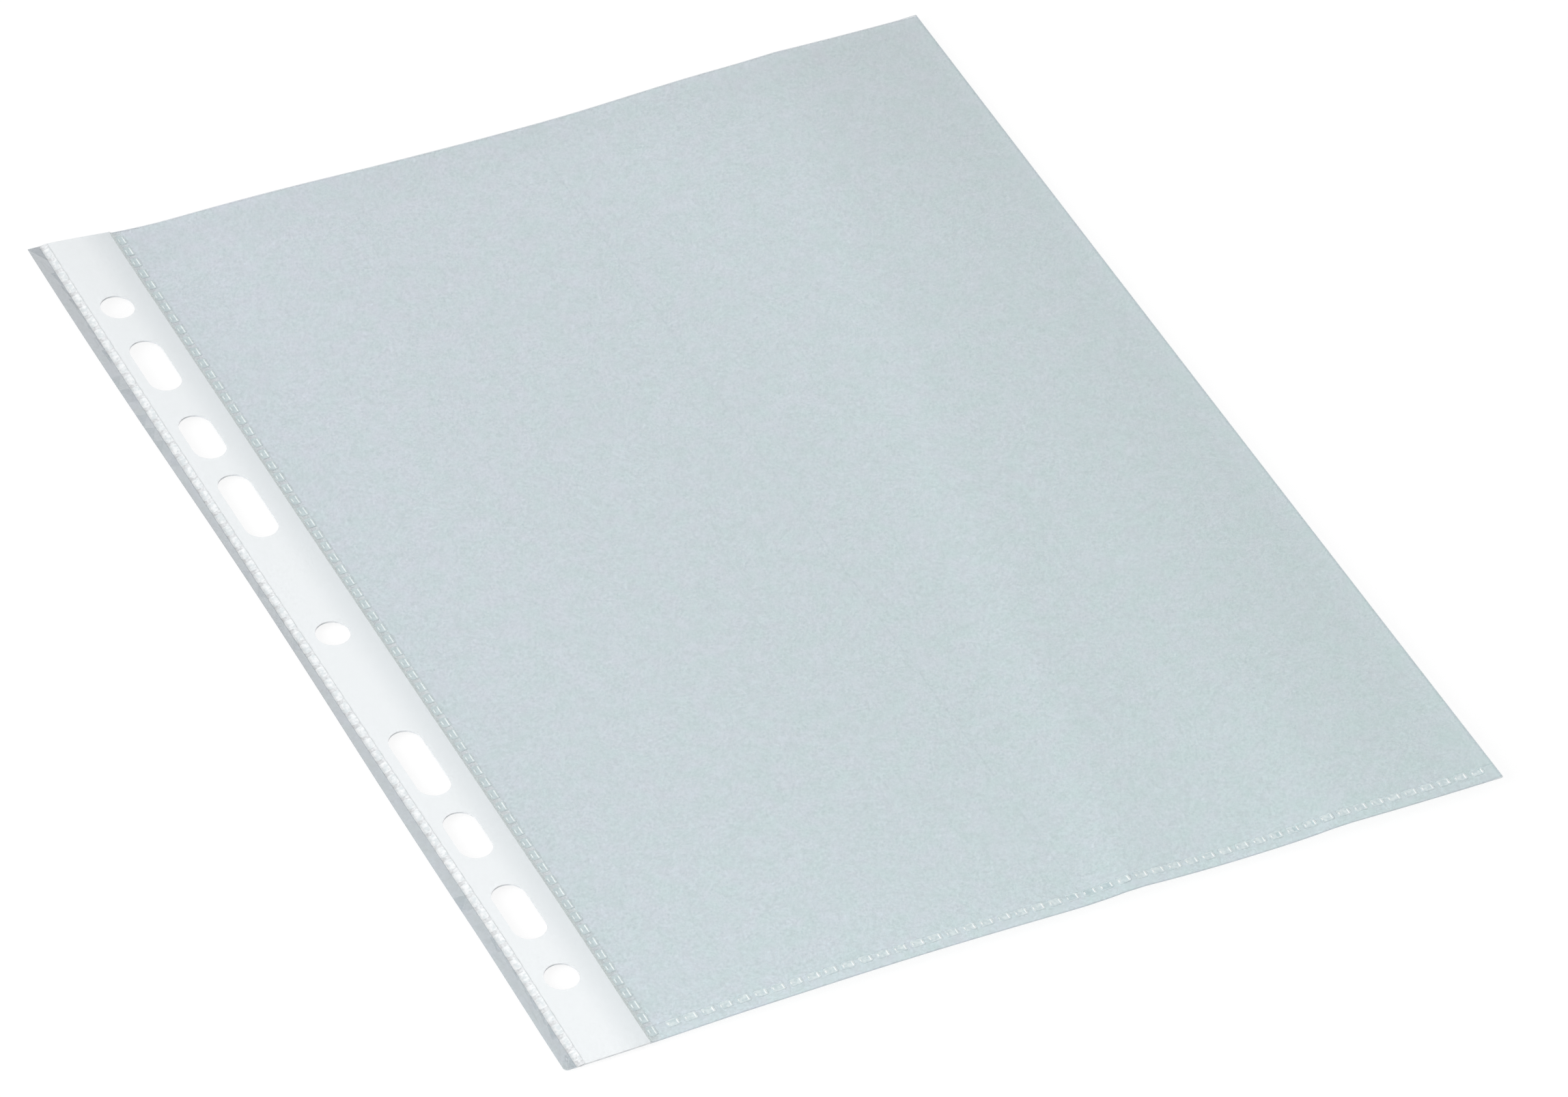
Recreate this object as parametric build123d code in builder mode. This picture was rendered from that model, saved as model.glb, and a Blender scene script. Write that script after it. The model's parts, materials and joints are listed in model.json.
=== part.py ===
from build123d import *
import os

os.makedirs("parts", exist_ok=True)

# Punched pocket for A4 paper, lying flat: one folded film web, a filing strip welded between
# its plies at the spine, and welded seams. Millimetres, +X from the spine to the fold,
# +Y from the welded bottom to the open mouth, +Z up, origin under the middle of the sheet.

# Sheet
page_width = 243.0
page_length = 305.0
film_thickness = 0.10
corner_radius = 1.0

# Filing strip between the plies
strip_thickness = 0.44
strip_width = 16.5
spine_margin = 5.0

# Punched holes, on one line along the strip
hole_line = 12.0
hole_diameter = 8.4
outer_hole_offset = 125.5
medium_slot_offset = 102.7
medium_slot_length = 19.0
short_slot_offset = 75.0
short_slot_length = 16.2
long_slot_offset = 48.5
long_slot_length = 23.4

# Welded seams, made of rows of short stitches
weld_width = 2.1
stitch_length = 3.2
stitch_pitch = 4.45
stitch_chamfer = 0.5
outer_weld_reach = 2.0
flex_width = 0.9
hem_width = 2.8

# Places across the sheet
spine_edge_x = -page_width / 2
strip_outer_x = spine_edge_x + spine_margin
strip_inner_x = strip_outer_x + strip_width
inner_weld_x = strip_inner_x + flex_width
pocket_x = inner_weld_x + weld_width
hole_x = spine_edge_x + hole_line

# Places along the sheet
bottom_y = -page_length / 2
mouth_y = page_length / 2
bottom_weld_y = bottom_y + hem_width
crease_y = bottom_weld_y + weld_width

# Levels of the plies, and the bend at the far edge that joins them
gap_z = film_thickness
front_z = gap_z + strip_thickness
stack_height = front_z + film_thickness
fold_radius = stack_height / 2
fold_x = page_width / 2 - fold_radius

# Stitches that fit along each seam
stitch_gap = stitch_pitch - stitch_length
spine_stitches = int((page_length - stitch_length) / stitch_pitch) + 1
bottom_weld_length = fold_x - pocket_x - 2 * stitch_gap
bottom_stitches = int((bottom_weld_length - stitch_length) / stitch_pitch) + 1

slots = [
    (medium_slot_offset, medium_slot_length),
    (short_slot_offset, short_slot_length),
    (long_slot_offset, long_slot_length),
]


def sheet_between(low_x, high_x, low_y, high_y):
    """Add the rectangle between four edges to the sketch that is open."""
    with Locations(((low_x + high_x) / 2, (low_y + high_y) / 2)):
        Rectangle(high_x - low_x, high_y - low_y)


def punch_filing_holes():
    """Cut the three round holes and the six slots out of the sketch that is open."""
    with Locations((hole_x, outer_hole_offset), (hole_x, 0), (hole_x, -outer_hole_offset)):
        Circle(hole_diameter / 2, mode=Mode.SUBTRACT)
    for offset, length in slots:
        with Locations((hole_x, offset), (hole_x, -offset)):
            SlotOverall(length, hole_diameter, rotation=90, mode=Mode.SUBTRACT)


# Filing strip: opaque band that carries the punched holes
with BuildPart() as filing_strip:
    with BuildSketch(Plane.XY.offset(gap_z)):
        sheet_between(strip_outer_x, strip_inner_x, bottom_y, mouth_y)
        punch_filing_holes()
    extrude(amount=strip_thickness)
filing_strip.part.label = "filing_strip"
export_step(filing_strip.part, "parts/filing_strip.step")

# Back ply over the strip, with the die-rounded corner at the bottom of the spine
with BuildPart() as spine_back_film:
    with BuildSketch(Plane.XY) as spine_back_outline:
        sheet_between(spine_edge_x, strip_inner_x, bottom_y, mouth_y)
        spine_corner = spine_back_outline.vertices().group_by(Axis.Y)[0].sort_by(Axis.X)[0]
        fillet(spine_corner, corner_radius)
        punch_filing_holes()
    extrude(amount=film_thickness)
spine_back_film.part.label = "spine_back_film"
export_step(spine_back_film.part, "parts/spine_back_film.step")

# Front ply over the strip
with BuildPart() as spine_front_film:
    with BuildSketch(Plane.XY.offset(front_z)) as spine_front_outline:
        sheet_between(spine_edge_x, strip_inner_x, bottom_y, mouth_y)
        spine_corner = spine_front_outline.vertices().group_by(Axis.Y)[0].sort_by(Axis.X)[0]
        fillet(spine_corner, corner_radius)
        punch_filing_holes()
    extrude(amount=film_thickness)
spine_front_film.part.label = "spine_front_film"
export_step(spine_front_film.part, "parts/spine_front_film.step")

# Outer spine weld: stitches that reach from the strip's outer edge into the bare margin
with BuildPart() as outer_spine_weld:
    with BuildSketch(Plane.XY.offset(gap_z)) as outer_stitches:
        with Locations((strip_outer_x - outer_weld_reach / 2, 0)):
            with GridLocations(outer_weld_reach, stitch_pitch, 1, spine_stitches):
                Rectangle(outer_weld_reach, stitch_length)
        chamfer(outer_stitches.vertices().group_by(Axis.X)[0], stitch_chamfer)
    extrude(amount=strip_thickness)
outer_spine_weld.part.label = "outer_spine_weld"
export_step(outer_spine_weld.part, "parts/outer_spine_weld.step")

# Bare film of both plies between the strip and the inner weld, where the page bends
with BuildPart() as spine_flex_film:
    with BuildSketch(Plane.XY, Plane.XY.offset(front_z)):
        sheet_between(strip_inner_x, inner_weld_x, bottom_y, mouth_y)
    extrude(amount=film_thickness)
spine_flex_film.part.label = "spine_flex_film"
export_step(spine_flex_film.part, "parts/spine_flex_film.step")

# Inner spine weld: closes the pocket beside the strip
with BuildPart() as inner_spine_weld:
    with BuildSketch(Plane.XY.offset(gap_z)) as inner_stitches:
        with Locations(((inner_weld_x + pocket_x) / 2, 0)):
            with GridLocations(weld_width, stitch_pitch, 1, spine_stitches):
                Rectangle(weld_width, stitch_length)
        chamfer(inner_stitches.vertices(), stitch_chamfer)
    extrude(amount=strip_thickness)
inner_spine_weld.part.label = "inner_spine_weld"
export_step(inner_spine_weld.part, "parts/inner_spine_weld.step")

# Bottom weld: closes the pocket along its lower edge
with BuildPart() as bottom_weld:
    with BuildSketch(Plane.XY.offset(gap_z)) as bottom_row:
        with Locations(((pocket_x + fold_x) / 2, (bottom_weld_y + crease_y) / 2)):
            with GridLocations(stitch_pitch, weld_width, bottom_stitches, 1):
                Rectangle(stitch_length, weld_width)
        chamfer(bottom_row.vertices(), stitch_chamfer)
    extrude(amount=strip_thickness)
bottom_weld.part.label = "bottom_weld"
export_step(bottom_weld.part, "parts/bottom_weld.step")

# Back ply of the pocket
with BuildPart() as pocket_back_film:
    with BuildSketch(Plane.XY):
        sheet_between(inner_weld_x, fold_x, bottom_y, mouth_y)
    extrude(amount=film_thickness)
pocket_back_film.part.label = "pocket_back_film"
export_step(pocket_back_film.part, "parts/pocket_back_film.step")

# Front ply where the inner and bottom welds hold it down on the back ply
with BuildPart() as pocket_front_border:
    with BuildSketch(Plane.XY.offset(front_z)):
        sheet_between(inner_weld_x, pocket_x, bottom_y, mouth_y)
        sheet_between(pocket_x, fold_x, bottom_y, crease_y)
    extrude(amount=film_thickness)
pocket_front_border.part.label = "pocket_front_border"
export_step(pocket_front_border.part, "parts/pocket_front_border.step")

# Front ply of the pocket, free of the back ply from the bottom weld up to the mouth
with BuildPart() as pocket_front_film:
    with BuildSketch(Plane.XY.offset(front_z)):
        sheet_between(pocket_x, fold_x, crease_y, mouth_y)
    extrude(amount=film_thickness)
pocket_front_film.part.label = "pocket_front_film"
export_step(pocket_front_film.part, "parts/pocket_front_film.step")

# Far edge, where the web is bent round from the back ply to the front ply
with BuildPart() as edge_fold:
    with BuildSketch(Plane.XZ.offset(-mouth_y)):
        with Locations((fold_x, fold_radius)):
            Circle(fold_radius)
            Circle(fold_radius - film_thickness, mode=Mode.SUBTRACT)
            Rectangle(fold_radius, stack_height, align=(Align.MIN, Align.CENTER), mode=Mode.INTERSECT)
    extrude(amount=page_length)
edge_fold.part.label = "edge_fold"
export_step(edge_fold.part, "parts/edge_fold.step")
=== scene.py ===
import json
import math

import bmesh
import bpy
from mathutils import Matrix, Quaternion, Vector


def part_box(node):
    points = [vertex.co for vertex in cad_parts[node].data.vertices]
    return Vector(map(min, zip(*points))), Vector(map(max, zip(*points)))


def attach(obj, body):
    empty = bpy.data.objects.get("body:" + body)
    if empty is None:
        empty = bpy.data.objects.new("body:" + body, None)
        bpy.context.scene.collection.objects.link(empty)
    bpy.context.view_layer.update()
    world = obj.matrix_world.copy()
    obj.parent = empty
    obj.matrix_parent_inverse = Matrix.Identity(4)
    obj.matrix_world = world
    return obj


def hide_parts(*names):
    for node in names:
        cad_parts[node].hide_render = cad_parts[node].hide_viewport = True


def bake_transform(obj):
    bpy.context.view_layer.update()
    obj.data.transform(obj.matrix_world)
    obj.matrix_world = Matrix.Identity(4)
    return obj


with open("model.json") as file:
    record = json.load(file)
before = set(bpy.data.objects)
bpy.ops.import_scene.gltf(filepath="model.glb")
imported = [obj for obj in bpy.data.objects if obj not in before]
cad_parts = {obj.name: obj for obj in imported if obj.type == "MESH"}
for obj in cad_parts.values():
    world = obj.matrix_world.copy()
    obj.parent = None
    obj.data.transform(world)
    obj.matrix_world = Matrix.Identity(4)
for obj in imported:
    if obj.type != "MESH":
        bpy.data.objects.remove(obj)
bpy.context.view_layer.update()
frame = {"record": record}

# A punched pocket of embossed film, lying on a white floor. Metres, +X from the spine to the
# folded edge, +Y from the welded bottom to the open mouth.
MM = 0.001

# Places on the flat sheet, from the frame
strip_low, strip_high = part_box("filing_strip")
spine_low, spine_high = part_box("spine_back_film")
inner_weld_low, inner_weld_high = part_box("inner_spine_weld")
outer_weld_low, outer_weld_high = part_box("outer_spine_weld")
bottom_weld_low, bottom_weld_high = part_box("bottom_weld")
panel_low, panel_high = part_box("pocket_front_film")

spine_x = spine_low.x
strip_outer_x, strip_inner_x = strip_low.x, strip_high.x
flex_end_x = inner_weld_low.x
pocket_x, fold_x = panel_low.x, panel_high.x
middle_x = (pocket_x + fold_x) / 2
bottom_y, mouth_y = spine_low.y, spine_high.y
crease_y = panel_low.y
film = spine_high.z - spine_low.z
strip_depth = strip_high.z - strip_low.z
stack = panel_high.z
margin_x = outer_weld_low.x

# Punched holes: the middle of each one along the spine, and half its straight length
mounts = {mount["name"]: mount for mount in frame["record"]["mounts"]}
hole_x = mounts["centre_ring_hole"]["pos_m"][0]
hole_radius = mounts["centre_ring_hole"]["dims"]["r_mm"] * MM
punched = [(0.0, 0.0)]
for pattern in ("outer_ring_holes", "medium_ring_slots", "short_ring_slots", "long_ring_slots"):
    sizes = mounts[pattern]["dims"]
    reach = sizes["spacing_y_mm"] * MM / 2
    straight = max(0.0, sizes.get("slot_length_mm", 0.0) * MM / 2 - hole_radius)
    punched += [(reach, straight), (-reach, straight)]

# How the sheet lies: near the joint's level along the line where the page turns, tilted a little down to
# the floor at the middle of its mouth, and waving up at its corners. UPPER_FROM is the share of the length
# from which the waves at the mouth start.
TILT = 0.8 * MM
SINK = 0.35 * MM
UPPER_FROM = 2 / 7
DIP = 0.7 * MM
DIP_MIDDLE = 6 * MM
DIP_HALF = 60 * MM
FOOT = 1.3 * MM
FOOT_REACH = 50 * MM
SWELL_RISE = 1.2 * MM
SWELL_FROM = 18 * MM
SWELL_TO = 68 * MM
RIPPLE_RISE = 0.6 * MM
RIPPLE_MIDDLE = -68 * MM
RIPPLE_HALF = 45 * MM
RIPPLE_FADE = 1.5
CORNER_RISE = 3.2 * MM
CORNER_REACH = 38 * MM
CORNER_FADE = 2.5
HEM_RISE = 1.3 * MM
HEM_MIDDLE = -25 * MM
HEM_HALF = 75 * MM
FOLD_RISE = 1.7 * MM
FOLD_RISE_FROM = -20 * MM
FOLD_RISE_TO = 130 * MM

# Curl of the bare margin, largest a little above the middle of the sheet
MARGIN_TURN = math.radians(32)
MARGIN_MIDDLE = 18 * MM
MARGIN_HALF = 125 * MM

# Two soft creases that run up the page from the hem, a long one and a short one, leaning to the fold
CREASE_RISE = 1.1 * MM
CREASE_MIDDLE = 52.5 * MM
CREASE_LEAN = 0.185
SHORT_CREASE_RISE = 0.7 * MM
SHORT_CREASE_MIDDLE = 94 * MM
SHORT_CREASE_LEAN = 0.1
SHORT_CREASE_LENGTH = 85 * MM
CREASE_NEAR = 16 * MM
CREASE_FAR = 36 * MM

# Hair's breadth between things that only touch, so that their faces don't share a plane
AIR = 0.01 * MM

# How far the floor lies under the CAD's, just below the lowest film
FLOOR_DROP = DIP + TILT + SINK + 0.05 * MM

# How far apart the plies lie in the pocket, and how soon they close up at a seam or at the fold
POCKET_GAP = 0.16 * MM
SEAM_EASE = 7 * MM
FOLD_EASE = 5 * MM

# Mesh steps across the flat sheet, and what a cut takes as lying on its plane
CELL = 5 * MM
BEND_STEPS = 6
SLOPE_STEPS = 4
STRIP_STEPS = 8
HOLE_POINTS = 40
FOLD_STEPS = 8
CUT_SNAP = 0.0001 * MM

# Edges that bend less than this are shaded smooth
SMOOTH_UNDER = math.radians(40)

# Weld stitches
STITCH_PITCH = 4.45 * MM
STITCH_LENGTH = 3.2 * MM
STITCH_CORNER = 0.5 * MM
STITCH_CORNER_STEPS = 3
STITCH_PROUD = 0.03 * MM
STITCH_LIP = 0.35 * MM
STITCH_DISH = 0.02 * MM

# Ridges that the tool leaves near two sides of a stitch, the longer one towards the fold
RIDGE_WIDTH = 0.36 * MM
LESSER_RIDGE_WIDTH = 0.26 * MM
RIDGE_HEIGHT = 0.12 * MM
RIDGE_CREST = 0.3
RIDGE_INSET = 0.42 * MM
RIDGE_SHORTER = 0.5 * MM

# Features of the patterns, in millimetres: blotches of the cast film, the orange peel of its emboss, and
# the specks of welds and tape
BLOTCH_SIZE = 6.0
PEEL_SIZE = 0.6
SPECK_SIZE = 0.9

# How much of the film's change of colour is in blotches, and the way across the sheet that the rest goes,
# from bluer to greener
BLOTCH_SHARE = 0.5
GREENING_WAY = Vector((0.85, -0.52, 0))

# Film in the pocket: how much it covers of what lies behind it, its gloss, and how far its grain changes it
FILM_COVER = 0.28
FILM_ROUGHNESS = 0.42
GRAIN_DARK, GRAIN_LIGHT = 0.81, 1.19

# How much a weld covers, and how polypropylene bends light
WELD_COVER = 0.95
POLYPROPYLENE_IOR = 1.49

# Width of the painted shade line along the film's free edges
FILM_EDGE = 0.3 * MM

# Die-rounded corner at the bottom of the spine
CORNER_RADIUS = 1.0 * MM
CORNER_STEPS = 5


def ease(t):
    """Smooth step from 0 to 1."""
    t = min(max(t, 0.0), 1.0)
    return t * t * (3 - 2 * t)


def bell(t):
    """Smooth hump: 1 at 0, and 0 from 1 outwards."""
    return (1 + math.cos(math.pi * min(abs(t), 1.0))) / 2


def crease(out):
    """Height across a crease of height 1: steepest at its top, and longer towards the fold."""
    run = CREASE_FAR if out > 0 else CREASE_NEAR
    return max(0.0, 1 - abs(out) / run) ** 2


def rise(x, y):
    """How far a place on the sheet stands above its level in the flat sheet."""
    up = (y - bottom_y) / (mouth_y - bottom_y)
    upper = max(0.0, (up - UPPER_FROM) / (1 - UPPER_FROM))
    lower = (1 - up) ** 2
    dip = DIP * bell((x - DIP_MIDDLE) / DIP_HALF) * up ** 2
    foot = FOOT * (1 - ease((x - spine_x) / FOOT_REACH)) * (1 - ease((y - bottom_y) / FOOT_REACH))
    swell = SWELL_RISE * ease((x - SWELL_FROM) / (SWELL_TO - SWELL_FROM)) * up
    ripple = RIPPLE_RISE * bell((x - RIPPLE_MIDDLE) / RIPPLE_HALF) * upper ** RIPPLE_FADE
    corner = CORNER_RISE * ease((spine_x + CORNER_REACH - x) / CORNER_REACH) * upper ** CORNER_FADE
    hem = HEM_RISE * bell((x - HEM_MIDDLE) / HEM_HALF) * lower
    fold = FOLD_RISE * ease((x - FOLD_RISE_FROM) / (FOLD_RISE_TO - FOLD_RISE_FROM)) * lower
    long_crease = CREASE_RISE * crease(x - CREASE_MIDDLE - CREASE_LEAN * y) * (1 - up / 2)
    fading = 1 - ease((y - bottom_y) / SHORT_CREASE_LENGTH)
    short_crease = SHORT_CREASE_RISE * crease(x - SHORT_CREASE_MIDDLE - SHORT_CREASE_LEAN * y) * fading
    level = -SINK - TILT * y / mouth_y
    return level + swell + ripple + corner + hem + fold + long_crease + short_crease - dip - foot


def ply_gap(x, y):
    """Space between the plies: the strip's depth over the strip, none at a weld, a little in the pocket."""
    on_strip = ease((x - margin_x) / (strip_outer_x - margin_x))
    off_strip = ease((x - strip_inner_x) / (flex_end_x - strip_inner_x))
    over_strip = strip_depth * (on_strip - off_strip)
    in_pocket = POCKET_GAP * ease((x - pocket_x) / SEAM_EASE) * ease((y - crease_y) / SEAM_EASE)
    at_fold = (strip_depth - in_pocket) * ease((x - fold_x + FOLD_EASE) / FOLD_EASE)
    return over_strip + in_pocket + at_fold


def front_under(x, y):
    """Level of the front ply's underside on the flat sheet."""
    return film + ply_gap(x, y)


def laid(place):
    """Where a point of the flat sheet lies: the bare margin curls up, and the sheet follows its rise."""
    x, y, z = place
    lift = rise(x, y)
    if x < margin_x:
        turn = MARGIN_TURN * bell((y - MARGIN_MIDDLE) / MARGIN_HALF)
        out = margin_x - x
        x = margin_x - out * math.cos(turn) - z * math.sin(turn)
        z = out * math.sin(turn) + z * math.cos(turn)
    return Vector((x, y, z + lift))


def flat_point(x, y):
    """A point on the flat sheet."""
    return Vector((x, y, 0))


def steps(low, high, count):
    """Even places from one edge to another, both edges with them."""
    return [low + (high - low) * i / count for i in range(count + 1)]


def lines(low, high, *extra):
    """Places of the cuts between two edges: even steps, and the extra ones that lie inside."""
    even = steps(low, high, max(1, round((high - low) / CELL)))
    return [place for place in sorted({*even, *extra}) if low < place < high]


def cut_sheet(bm, low, high, holes):
    """Fill a flat rectangle with its punched holes, and cut it into small cells."""
    middle = Matrix.Translation(((low.x + high.x) / 2, (low.y + high.y) / 2, 0))
    size = Matrix.Diagonal((high.x - low.x, high.y - low.y, 1, 1))
    outline = bmesh.ops.create_grid(bm, x_segments=1, y_segments=1, size=0.5, matrix=middle @ size)
    if low.x == spine_x:
        spine_corner = min(outline["verts"], key=lambda vert: vert.co.x + vert.co.y)
        bmesh.ops.bevel(
            bm, geom=[spine_corner], offset=CORNER_RADIUS, affect="VERTICES", segments=CORNER_STEPS,
            profile=0.5, material=-1,
        )
    bmesh.ops.delete(bm, geom=bm.faces[:], context="FACES_ONLY")
    half_step = Matrix.Rotation(math.pi / HOLE_POINTS, 4, "Z")
    for place, straight in holes:
        ring = bmesh.ops.create_circle(
            bm, segments=HOLE_POINTS, radius=hole_radius,
            matrix=Matrix.Translation((hole_x, place, 0)) @ half_step,
        )
        for vert in ring["verts"]:
            vert.co.y += math.copysign(straight, vert.co.y - place)
    bmesh.ops.triangle_fill(bm, use_beauty=True, edges=bm.edges[:])
    bends = steps(strip_inner_x, flex_end_x, BEND_STEPS)
    slope = steps(margin_x, strip_outer_x, SLOPE_STEPS)
    over_strip = steps(strip_outer_x, strip_inner_x, STRIP_STEPS)
    for x in lines(low.x, high.x, pocket_x, fold_x - FOLD_EASE, *bends, *slope, *over_strip):
        cut(bm, (x, 0, 0), (1, 0, 0))
    for y in lines(low.y, high.y, bottom_y + FILM_EDGE, crease_y, mouth_y - FILM_EDGE):
        cut(bm, (0, y, 0), (0, 1, 0))


def cut(bm, place, across):
    """Divide every face that a plane crosses."""
    everything = bm.verts[:] + bm.edges[:] + bm.faces[:]
    bmesh.ops.bisect_plane(bm, geom=everything, dist=CUT_SNAP, plane_co=place, plane_no=across)


def thicken(bm, thickness):
    """Give a flat sheet its wall, with its top at the given height."""
    for face in bm.faces:
        if face.normal.z < 0:
            face.normal_flip()
    bmesh.ops.translate(bm, verts=bm.verts[:], vec=(0, 0, thickness))
    bmesh.ops.solidify(bm, geom=bm.faces[:], thickness=thickness)


def finish_piece(name, bm, slot, *materials):
    """Lay the flat mesh, keep its flat places for the patterns, and make it an object."""
    flat = bm.verts.layers.float_vector.new("flat")
    for vert in bm.verts:
        vert[flat] = vert.co
        vert.co = laid(vert.co)
    bmesh.ops.recalc_face_normals(bm, faces=bm.faces[:])
    mesh = bpy.data.meshes.new(name)
    bm.to_mesh(mesh)
    bm.free()
    mesh.shade_smooth()
    mesh.set_sharp_from_angle(angle=SMOOTH_UNDER)
    for material in materials:
        mesh.materials.append(material)
    piece = bpy.data.objects.new(name, mesh)
    bpy.context.scene.collection.objects.link(piece)
    return piece


def film_zone(place):
    """Which of the films a place on the sheet belongs to."""
    if place.x < margin_x:
        zone = bare_film
    elif place.x < strip_outer_x:
        zone = hazed_film
    elif place.x < strip_inner_x:
        zone = strip_film
    elif not bottom_y + FILM_EDGE < place.y < mouth_y - FILM_EDGE:
        zone = painted_shade_edge_film
    elif place.x < flex_end_x:
        zone = painted_light_flex_film
    elif place.x < pocket_x:
        zone = seam_film
    else:
        zone = pocket_film
    return films.index(zone)


def film_piece(name, low, high, front, holes=()):
    """One ply of film between two corners: the back ply, or the front ply over what lies under it."""
    bm = bmesh.new()
    cut_sheet(bm, low, high, holes)
    thicken(bm, film)
    for face in bm.faces:
        face.material_index = film_zone(face.calc_center_median())
    if front:
        for vert in bm.verts:
            vert.co.z += front_under(vert.co.x, vert.co.y)
    return finish_piece(name, bm, "embossed_film", *films)


def stitch_row(name, places, length_x, length_y, material):
    """A row of weld stitches: rounded pads pressed into the front ply, dished on top."""
    bm = bmesh.new()
    for x, y in places:
        size = Matrix.Diagonal((length_x, length_y, 1, 1))
        bmesh.ops.create_grid(
            bm, x_segments=1, y_segments=1, size=0.5, matrix=Matrix.Translation((x, y, 0)) @ size
        )
    bmesh.ops.bevel(
        bm, geom=bm.verts[:], offset=STITCH_CORNER, affect="VERTICES",
        segments=STITCH_CORNER_STEPS, profile=0.5, material=-1,
    )
    base = bm.faces[:]
    raised = bmesh.ops.extrude_face_region(bm, geom=base, use_keep_orig=True)["geom"]
    tops = [part for part in raised if isinstance(part, bmesh.types.BMFace)]
    upper = {vert for face in tops for vert in face.verts}
    bmesh.ops.inset_individual(bm, faces=tops, thickness=STITCH_LIP, depth=0)
    dish = {vert for face in tops for vert in face.verts}
    for vert in bm.verts:
        if vert in dish:
            vert.co.z = front_under(vert.co.x, vert.co.y) + film + STITCH_PROUD - STITCH_DISH
        elif vert in upper:
            vert.co.z = front_under(vert.co.x, vert.co.y) + film + STITCH_PROUD
        else:
            vert.co.z = front_under(vert.co.x, vert.co.y) + film / 2
    return finish_piece(name, bm, "weld", material)


def ridge_row(name, places, out, length, material):
    """Two raised ridges on each stitch, narrower at their crests: a long one and a short one."""
    bm = bmesh.new()
    for x, y in places:
        for across, width, along in ((out, RIDGE_WIDTH, length), (-out, LESSER_RIDGE_WIDTH, length / 2)):
            size = Matrix.Diagonal((width, along, 1, 1))
            bmesh.ops.create_grid(
                bm, x_segments=1, y_segments=1, size=0.5,
                matrix=Matrix.Translation((x + across, y, 0)) @ size,
            )
    raised = bmesh.ops.extrude_face_region(bm, geom=bm.faces[:], use_keep_orig=True)["geom"]
    for part in raised:
        if isinstance(part, bmesh.types.BMFace):
            middle = part.calc_center_median()
            for vert in part.verts:
                vert.co += (middle - vert.co) * RIDGE_CREST
                vert.co.z = RIDGE_HEIGHT
    for vert in bm.verts:
        vert.co.z += front_under(vert.co.x, vert.co.y) + film / 2 + STITCH_PROUD
    return finish_piece(name, bm, "weld", material)


def linear(hex_colour):
    """Linear colour from an sRGB hex value."""
    channels = [int(hex_colour[i:i + 2], 16) / 255 for i in (1, 3, 5)]
    return [c / 12.92 if c <= 0.04045 else ((c + 0.055) / 1.055) ** 2.4 for c in channels] + [1.0]


def add_node(tree, kind, settings=None, links=None):
    """Add one shader node, set its properties and constant sockets, and link its other sockets."""
    node = tree.nodes.new(kind)
    for key, value in (settings or {}).items():
        if isinstance(key, str) and hasattr(node, key):
            setattr(node, key, value)
        else:
            node.inputs[key].default_value = value
    for key, source in (links or {}).items():
        tree.links.new(source, node.inputs[key])
    return node


def new_material(name):
    """An empty node material and its node tree."""
    material = bpy.data.materials.new(name)
    material.use_nodes = True
    material.node_tree.nodes.clear()
    return material, material.node_tree


def per_mm(size):
    """Texture scale, per metre, of a pattern with features of this many millimetres."""
    return 1 / (size * MM)


def shaded(tree, flat, shades):
    """Product of the painted shades: each one changes between two places on the flat sheet."""
    tone = add_node(tree, "ShaderNodeValue").outputs[0]
    tone.default_value = 1.0
    for start, end, first, last in shades:
        way = (end - start).normalized()
        along = add_node(tree, "ShaderNodeVectorMath", {"operation": "DOT_PRODUCT", 1: way}, {0: flat})
        shade = add_node(
            tree, "ShaderNodeMapRange",
            {
                "interpolation_type": "SMOOTHSTEP", "From Min": start.dot(way), "From Max": end.dot(way),
                "To Min": first, "To Max": last,
            },
            {"Value": along.outputs["Value"]},
        )
        tone = add_node(
            tree, "ShaderNodeMath", {"operation": "MULTIPLY"}, {0: tone, 1: shade.outputs["Result"]}
        ).outputs[0]
    return tone


def film_tint(tree, flat, greener, bluer):
    """The film's colour: faint blotches on a slow change from bluer to greener across the sheet."""
    drift = add_node(
        tree, "ShaderNodeTexNoise", {"Scale": per_mm(BLOTCH_SIZE), "Detail": 2.0, "Roughness": 0.6},
        {"Vector": flat},
    )
    blotch = add_node(
        tree, "ShaderNodeMapRange", {"From Min": 0.35, "From Max": 0.65, "To Max": BLOTCH_SHARE},
        {"Value": drift.outputs["Fac"]},
    )
    along = add_node(
        tree, "ShaderNodeVectorMath", {"operation": "DOT_PRODUCT", 1: GREENING_WAY}, {0: flat}
    )
    change = add_node(
        tree, "ShaderNodeMapRange",
        {
            "From Min": GREENING_WAY.dot(flat_point(pocket_x, mouth_y)), "To Min": 1 - BLOTCH_SHARE,
            "From Max": GREENING_WAY.dot(flat_point(fold_x, bottom_y)), "To Max": 0.0,
        },
        {"Value": along.outputs["Value"]},
    )
    mix = add_node(
        tree, "ShaderNodeMath", {"operation": "ADD"},
        {0: blotch.outputs["Result"], 1: change.outputs["Result"]},
    )
    tint = add_node(
        tree, "ShaderNodeMix", {"data_type": "RGBA", 6: linear(greener), 7: linear(bluer)},
        {"Factor": mix.outputs[0]},
    )
    return tint.outputs[2]


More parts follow.
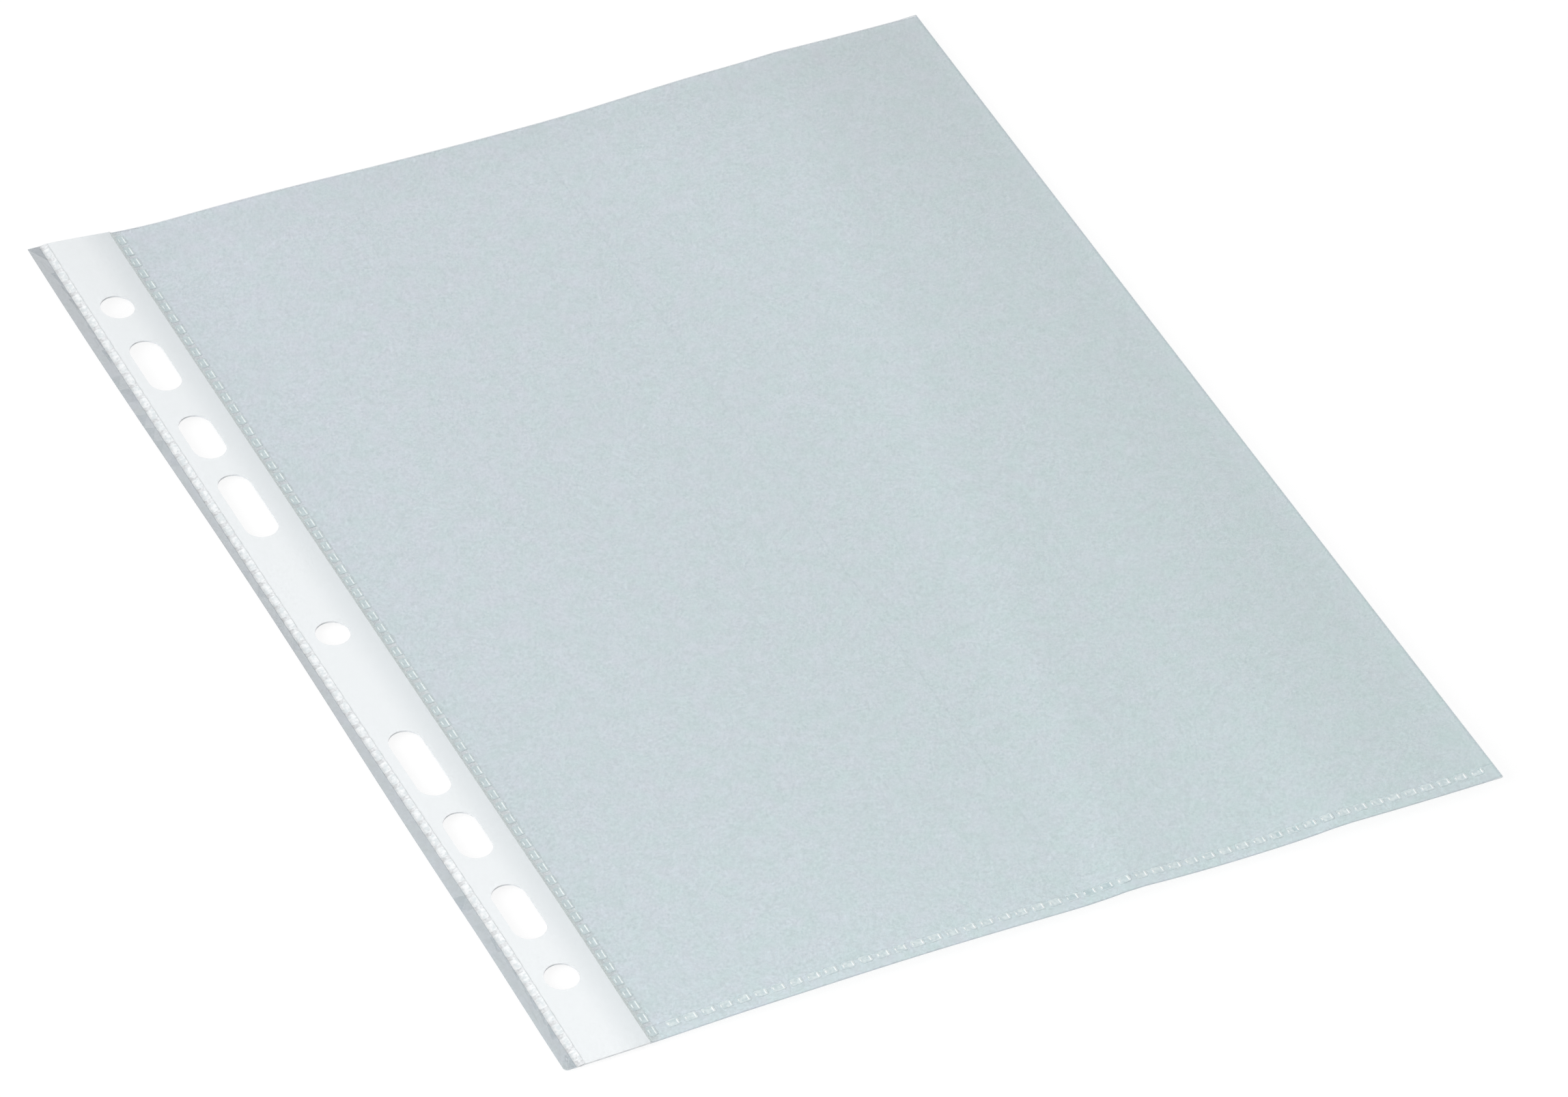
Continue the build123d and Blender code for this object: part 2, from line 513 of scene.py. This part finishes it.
def film_material(name, greener, bluer, shades=(), cover=FILM_COVER, roughness=FILM_ROUGHNESS):
    """Cast polypropylene film, roller-embossed: hazy, see-through and cool, with a soft sheen.

    The emboss is an orange peel of about 0.4 mm; it is drawn coarser so that it shows.
    """
    material, tree = new_material(name)
    flat = add_node(tree, "ShaderNodeAttribute", {"attribute_name": "flat"}).outputs["Vector"]
    peel = add_node(
        tree, "ShaderNodeTexNoise", {"Scale": per_mm(PEEL_SIZE), "Detail": 2.0, "Roughness": 0.6},
        {"Vector": flat},
    )
    grain = add_node(
        tree, "ShaderNodeMapRange",
        {"From Min": 0.3, "From Max": 0.7, "To Min": GRAIN_DARK, "To Max": GRAIN_LIGHT},
        {"Value": peel.outputs["Fac"]},
    )
    tone = add_node(
        tree, "ShaderNodeMath", {"operation": "MULTIPLY"},
        {0: grain.outputs["Result"], 1: shaded(tree, flat, shades)},
    )
    toned = add_node(
        tree, "ShaderNodeMix", {"data_type": "RGBA", "blend_type": "MULTIPLY", "Factor": 1.0},
        {6: film_tint(tree, flat, greener, bluer), 7: tone.outputs[0]},
    )
    bump = add_node(
        tree, "ShaderNodeBump", {"Strength": 0.6, "Distance": 0.05 * MM}, {"Height": peel.outputs["Fac"]}
    )
    surface = add_node(
        tree, "ShaderNodeBsdfPrincipled",
        {"Alpha": cover, "IOR": POLYPROPYLENE_IOR, "Roughness": roughness},
        {"Base Color": toned.outputs[2], "Normal": bump.outputs["Normal"]},
    )
    add_node(tree, "ShaderNodeOutputMaterial", {}, {"Surface": surface.outputs["BSDF"]})
    return material


def tape_material():
    """Extruded white polypropylene tape: opaque and satin, with painted shade that greys it a little
    towards its inner edge.
    """
    material, tree = new_material("white_polypropylene_tape")
    flat = add_node(tree, "ShaderNodeAttribute", {"attribute_name": "flat"}).outputs["Vector"]
    across = add_node(tree, "ShaderNodeSeparateXYZ", {}, {"Vector": flat})
    # Painted shade: greyer from the holes to the tape's inner edge
    inward_painted_shade = add_node(
        tree, "ShaderNodeMapRange",
        {"interpolation_type": "SMOOTHSTEP", "From Min": hole_x, "From Max": strip_inner_x},
        {"Value": across.outputs["X"]},
    )
    tone = add_node(
        tree, "ShaderNodeMix", {"data_type": "RGBA", 6: linear("#f9fcfd"), 7: linear("#e8edef")},
        {"Factor": inward_painted_shade.outputs["Result"]},
    )
    grain = add_node(
        tree, "ShaderNodeTexNoise", {"Scale": per_mm(SPECK_SIZE), "Detail": 2.0}, {"Vector": flat}
    )
    bump = add_node(
        tree, "ShaderNodeBump", {"Strength": 0.2, "Distance": 0.03 * MM}, {"Height": grain.outputs["Fac"]}
    )
    surface = add_node(
        tree, "ShaderNodeBsdfPrincipled", {"Roughness": 0.45, "IOR": POLYPROPYLENE_IOR},
        {"Base Color": tone.outputs[2], "Normal": bump.outputs["Normal"]},
    )
    add_node(tree, "ShaderNodeOutputMaterial", {}, {"Surface": surface.outputs["BSDF"]})
    return material


# Also draws the painted highlights of the ridges and the painted shade of the tape's cut sides
def weld_material(name, light, dark, shades=(), cover=WELD_COVER):
    """Polypropylene fused under a hot tool: paler and glossier than the film round it, and specked."""
    material, tree = new_material(name)
    flat = add_node(tree, "ShaderNodeAttribute", {"attribute_name": "flat"}).outputs["Vector"]
    cloud = add_node(
        tree, "ShaderNodeTexNoise", {"Scale": per_mm(SPECK_SIZE), "Detail": 2.0}, {"Vector": flat}
    )
    speck = add_node(
        tree, "ShaderNodeMapRange", {"From Min": 0.38, "From Max": 0.62}, {"Value": cloud.outputs["Fac"]}
    )
    tint = add_node(
        tree, "ShaderNodeMix", {"data_type": "RGBA", 6: linear(dark), 7: linear(light)},
        {"Factor": speck.outputs["Result"]},
    )
    toned = add_node(
        tree, "ShaderNodeMix", {"data_type": "RGBA", "blend_type": "MULTIPLY", "Factor": 1.0},
        {6: tint.outputs[2], 7: shaded(tree, flat, shades)},
    )
    surface = add_node(
        tree, "ShaderNodeBsdfPrincipled", {"Alpha": cover, "Roughness": 0.2, "IOR": POLYPROPYLENE_IOR},
        {"Base Color": toned.outputs[2]},
    )
    add_node(tree, "ShaderNodeOutputMaterial", {}, {"Surface": surface.outputs["BSDF"]})
    return material


def row_places(low, high):
    """Even places of the stitches that fill a row."""
    count = round((high - low - STITCH_LENGTH) / STITCH_PITCH)
    first = (low + high) / 2 - count * STITCH_PITCH / 2
    return [first + i * STITCH_PITCH for i in range(count + 1)]


def fold_piece():
    """The bend at the far edge: a half tube of film from the back ply round to the front ply."""
    bm = bmesh.new()
    low = bm.verts.new((fold_x, bottom_y, 0))
    high = bm.verts.new((fold_x, bottom_y, film))
    wall = bm.edges.new((low, high))
    middle = (fold_x, bottom_y, stack / 2)
    bmesh.ops.spin(
        bm, geom=[low, high, wall], cent=middle, axis=(0, -1, 0), angle=math.pi, steps=FOLD_STEPS
    )
    section = bm.faces[:]
    drawn = bmesh.ops.extrude_face_region(bm, geom=section, use_keep_orig=True)["geom"]
    far = [part for part in drawn if isinstance(part, bmesh.types.BMVert)]
    bmesh.ops.translate(bm, verts=far, vec=(0, mouth_y - bottom_y, 0))
    for y in lines(bottom_y, mouth_y):
        cut(bm, (0, y, 0), (0, 1, 0))
    return finish_piece("edge_fold_film", bm, "embossed_film", painted_shade_edge_film)


def seen_rays(tree):
    """A value that is 1 for the rays that show the background: seen straight, mirrored or through film."""
    ray = add_node(tree, "ShaderNodeLightPath")
    seen = ray.outputs["Is Camera Ray"]
    for kind in ("Is Glossy Ray", "Is Transmission Ray"):
        seen = add_node(
            tree, "ShaderNodeMath", {"operation": "MAXIMUM"}, {0: seen, 1: ray.outputs[kind]}
        ).outputs[0]
    return seen


def soft_lamp(name, place, size, power):
    """A square area lamp that faces the middle of the sheet."""
    data = bpy.data.lights.new(name, "AREA")
    data.shape = "SQUARE"
    data.size = size
    data.energy = power
    lamp = bpy.data.objects.new(name, data)
    lamp.location = place
    lamp.rotation_mode = "QUATERNION"
    lamp.rotation_quaternion = (-Vector(place)).to_track_quat("-Z", "Y")
    bpy.context.scene.collection.objects.link(lamp)


# Painted shade and light on the film, each from one place to another: painted shade at the fold, at the
# mouth and at their corner, and painted light at the hem; painted shade on the margin towards the mouth;
# painted shade along the strip's side of the inner seam; and painted shade where the haze and the outer
# stitches start
pocket_painted_shading = (
    (flat_point(fold_x - 60 * MM, 0), flat_point(fold_x, 0), 1.0, 0.93),
    (flat_point(0, mouth_y - 22 * MM), flat_point(0, mouth_y), 1.0, 0.965),
    (flat_point(50 * MM, 95 * MM), flat_point(100 * MM, mouth_y), 1.0, 0.945),
    (flat_point(0, -70 * MM), flat_point(0, bottom_y), 1.0, 1.025),
)
margin_painted_shade = ((flat_point(0, 50 * MM), flat_point(0, mouth_y), 1.0, 0.70),)
seam_painted_shade = ((flat_point(flex_end_x, 0), flat_point(pocket_x, 0), 0.84, 1.0),)
haze_painted_shade = ((flat_point(margin_x, 0), flat_point(margin_x + 1.9 * MM, 0), 0.77, 1.0),)
weld_painted_shade = ((flat_point(margin_x, 0), flat_point(margin_x + 1.2 * MM, 0), 0.86, 1.0),)

# Embossed film of the pocket: two hazy plies, with the floor pale and cool through them
# Painted shade at its fold and mouth, and painted light at its hem
pocket_film = film_material("embossed_polypropylene_film", "#c2dddd", "#d2dce7", pocket_painted_shading)
# Its sheared edges and the fold: thin lines of painted shade, darker than the sheet
painted_shade_edge_film = film_material("sheared_film_edge_painted_shade", "#b4c7ca", "#b9c3d0", pocket_painted_shading, cover=0.32)
# Bare film of the margin: darker, with no strip behind it, and painted shade towards the mouth
bare_film = film_material("bare_polypropylene_film", "#9fb2b5", "#a3b0bc", margin_painted_shade)
# Film hazed by the heat of the outer weld: nearly white, and a little glossier, with painted shade where it
# starts
hazed_film = film_material(
    "hazed_polypropylene_film", "#f4f7f8", "#f5f7f9", haze_painted_shade, cover=0.8, roughness=0.38
)
# Film bonded to the strip: so clear that the white of the strip shows
strip_film = film_material(
    "bonded_polypropylene_film", "#ebeff0", "#eef0f4", cover=0.08, roughness=0.40
)
# Film flexed beside the strip: painted light, a paler line where it slopes down off the strip
painted_light_flex_film = film_material("flexed_film_painted_light", "#d9e9e7", "#dbe7e9")
# Film between the stitches of the inner seam: painted shade on the strip's side
seam_film = film_material("seamed_polypropylene_film", "#c8dcdc", "#d0dae2", seam_painted_shade)
films = [pocket_film, painted_shade_edge_film, bare_film, hazed_film, strip_film, painted_light_flex_film, seam_film]

tape = tape_material()

# Fused stitches: pale glossy pads, whitest beside the tape, where their outer ends have painted shade
hem_weld = weld_material("fused_hem_weld", "#dfeaeb", "#c9d8db")
seam_weld = weld_material("fused_seam_weld", "#cbd9db", "#bfcdd0")
tape_weld = weld_material("fused_tape_weld", "#f8fafb", "#e2e8ea", weld_painted_shade)

# Ridges on the stitches, painted white as highlights: white dashes along the seams
painted_highlight_hem_ridge = weld_material("hem_ridge_painted_highlight", "#fbfdfd", "#eef4f4")
painted_highlight_seam_ridge = weld_material("seam_ridge_painted_highlight", "#f3f9f9", "#e4ecec")

# Sheared edges of the tape: painted shade, greyer than its face
painted_shade_tape_edge = weld_material("sheared_tape_edge_painted_shade", "#dde0e2", "#d0d4d7", cover=1.0)

back_film = film_piece(
    "back_film", flat_point(spine_x, bottom_y), flat_point(fold_x, mouth_y), False, punched
)
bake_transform(back_film)
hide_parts("spine_back_film", "pocket_back_film", "spine_flex_film")

spine_front = film_piece(
    "spine_front_film_visual", flat_point(spine_x, bottom_y), flat_point(pocket_x, mouth_y), True, punched
)
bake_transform(spine_front)
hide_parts("spine_front_film")

hem = film_piece("bottom_hem_film", flat_point(pocket_x, bottom_y), flat_point(fold_x, crease_y), True)
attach(hem, "page")
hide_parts("pocket_front_border")

front_spine_half = film_piece(
    "front_film_spine_half", flat_point(pocket_x, crease_y), flat_point(middle_x, mouth_y), True
)
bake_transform(front_spine_half)
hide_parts("pocket_front_film")
front_fold_half = film_piece(
    "front_film_fold_half", flat_point(middle_x, crease_y), flat_point(fold_x, mouth_y), True
)
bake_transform(front_fold_half)

# Filing strip, with its cut sides in a material of their own, greyer as painted shade
strip_mesh = bmesh.new()
cut_sheet(strip_mesh, strip_low, strip_high, punched)
thicken(strip_mesh, strip_depth - 2 * AIR)
bmesh.ops.translate(strip_mesh, verts=strip_mesh.verts[:], vec=(0, 0, film + AIR))
for face in strip_mesh.faces:
    face.material_index = 1 if abs(face.normal.z) < 0.5 else 0
strip = finish_piece("filing_strip_tape", strip_mesh, "filing_strip", tape, painted_shade_tape_edge)
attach(strip, "spine")
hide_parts("filing_strip")

# Weld stitches
outer_reach = strip_outer_x - margin_x
outer_x = strip_outer_x - outer_reach / 2
outer_places = [(outer_x, y) for y in row_places(outer_weld_low.y, outer_weld_high.y)]
outer_weld = stitch_row(
    "outer_weld_stitches", outer_places, outer_reach, STITCH_LENGTH, tape_weld
)
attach(outer_weld, "spine")
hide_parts("outer_spine_weld")

inner_width = inner_weld_high.x - inner_weld_low.x
inner_x = (inner_weld_low.x + inner_weld_high.x) / 2
inner_places = [(inner_x, y) for y in row_places(inner_weld_low.y, inner_weld_high.y)]
inner_weld = stitch_row(
    "inner_weld_stitches", inner_places, inner_width, STITCH_LENGTH, seam_weld
)
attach(inner_weld, "page")
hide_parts("inner_spine_weld")

bottom_width = bottom_weld_high.y - bottom_weld_low.y
bottom_seam_y = (bottom_weld_low.y + bottom_weld_high.y) / 2
bottom_places = [(x, bottom_seam_y) for x in row_places(bottom_weld_low.x, bottom_weld_high.x)]
bottom_weld = stitch_row(
    "bottom_weld_stitches", bottom_places, STITCH_LENGTH, bottom_width, hem_weld
)
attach(bottom_weld, "page")
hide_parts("bottom_weld")

# Ridges on the stitches
inner_out = inner_width / 2 - RIDGE_INSET
inner_length = STITCH_LENGTH - RIDGE_SHORTER
inner_ridges = ridge_row("inner_weld_ridges", inner_places, inner_out, inner_length, painted_highlight_seam_ridge)
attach(inner_ridges, "page")
bottom_out = STITCH_LENGTH / 2 - RIDGE_INSET
bottom_length = bottom_width - RIDGE_SHORTER
bottom_ridges = ridge_row("bottom_weld_ridges", bottom_places, bottom_out, bottom_length, painted_highlight_hem_ridge)
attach(bottom_ridges, "page")

# Folded edge
fold = fold_piece()
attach(fold, "page")
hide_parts("edge_fold")

# White floor: most of its light is its own, so the sheet's shadow stays faint on it
FLOOR_SIZE = 8.0
FLOOR_GLOW_SHARE = 0.86
FLOOR_GLOW = 1.04
floor_material, floor_tree = new_material("white_floor")
seen = seen_rays(floor_tree)
share = add_node(floor_tree, "ShaderNodeMath", {"operation": "MULTIPLY", 1: FLOOR_GLOW_SHARE}, {0: seen})
matt = add_node(floor_tree, "ShaderNodeBsdfDiffuse", {"Color": linear("#fafafa")})
glow = add_node(floor_tree, "ShaderNodeEmission", {"Strength": FLOOR_GLOW})
mixed = add_node(
    floor_tree, "ShaderNodeMixShader", {},
    {0: share.outputs[0], 1: matt.outputs[0], 2: glow.outputs[0]},
)
add_node(floor_tree, "ShaderNodeOutputMaterial", {}, {"Surface": mixed.outputs[0]})
floor_mesh = bmesh.new()
bmesh.ops.create_grid(floor_mesh, x_segments=1, y_segments=1, size=FLOOR_SIZE / 2)
bmesh.ops.translate(floor_mesh, verts=floor_mesh.verts[:], vec=(0, 0, -FLOOR_DROP))
floor_data = bpy.data.meshes.new("floor")
floor_mesh.to_mesh(floor_data)
floor_mesh.free()
floor_data.materials.append(floor_material)
floor = bpy.data.objects.new("floor", floor_data)
bpy.context.scene.collection.objects.link(floor)

# Soft even light from all round, with a large low lamp at the spine's side for the waves of the film and a
# weak one behind the fold for its sheen
SKY_LIGHT = 0.53
SKY_SEEN = 1.0
LAMP_SIZE = 1.5
world = bpy.data.worlds.new("studio")
bpy.context.scene.world = world
world.use_nodes = True
world.node_tree.nodes.clear()
around = add_node(
    world.node_tree, "ShaderNodeBackground", {"Color": linear("#ffffff"), "Strength": SKY_LIGHT}
)
behind = add_node(
    world.node_tree, "ShaderNodeBackground", {"Color": linear("#ffffff"), "Strength": SKY_SEEN}
)
sky = add_node(
    world.node_tree, "ShaderNodeMixShader", {},
    {0: seen_rays(world.node_tree), 1: around.outputs[0], 2: behind.outputs[0]},
)
add_node(world.node_tree, "ShaderNodeOutputWorld", {}, {"Surface": sky.outputs[0]})
soft_lamp("key_lamp", place=(-2.3, -0.8, 1.55), size=LAMP_SIZE, power=63.0)
soft_lamp("sheen_lamp", place=(1.5, 2.4, 2.2), size=LAMP_SIZE, power=4.0)

# Camera at the photograph's place: a long lens, looking down from the bottom left
CAMERA_AZIMUTH = math.radians(-29.27)
CAMERA_ELEVATION = math.radians(41.94)
CAMERA_ROLL = math.radians(4.49)
CAMERA_DISTANCE = 2.709
CAMERA_TARGET = Vector((2.4 * MM, -13.6 * MM, -0.28 * MM))
LENS = 261.2

towards_camera = Vector((
    math.sin(CAMERA_AZIMUTH) * math.cos(CAMERA_ELEVATION),
    -math.cos(CAMERA_AZIMUTH) * math.cos(CAMERA_ELEVATION),
    math.sin(CAMERA_ELEVATION),
))
camera_data = bpy.data.cameras.new("camera")
camera_data.lens = LENS
camera_data.clip_end = 100
camera = bpy.data.objects.new("camera", camera_data)
camera.location = CAMERA_TARGET + towards_camera * CAMERA_DISTANCE
camera.rotation_mode = "QUATERNION"
upright = (-towards_camera).to_track_quat("-Z", "Y")
camera.rotation_quaternion = upright @ Quaternion((0, 0, 1), CAMERA_ROLL)
bpy.context.scene.collection.objects.link(camera)
bpy.context.scene.camera = camera
bpy.context.scene.view_settings.view_transform = "Standard"

bpy.context.view_layer.update()
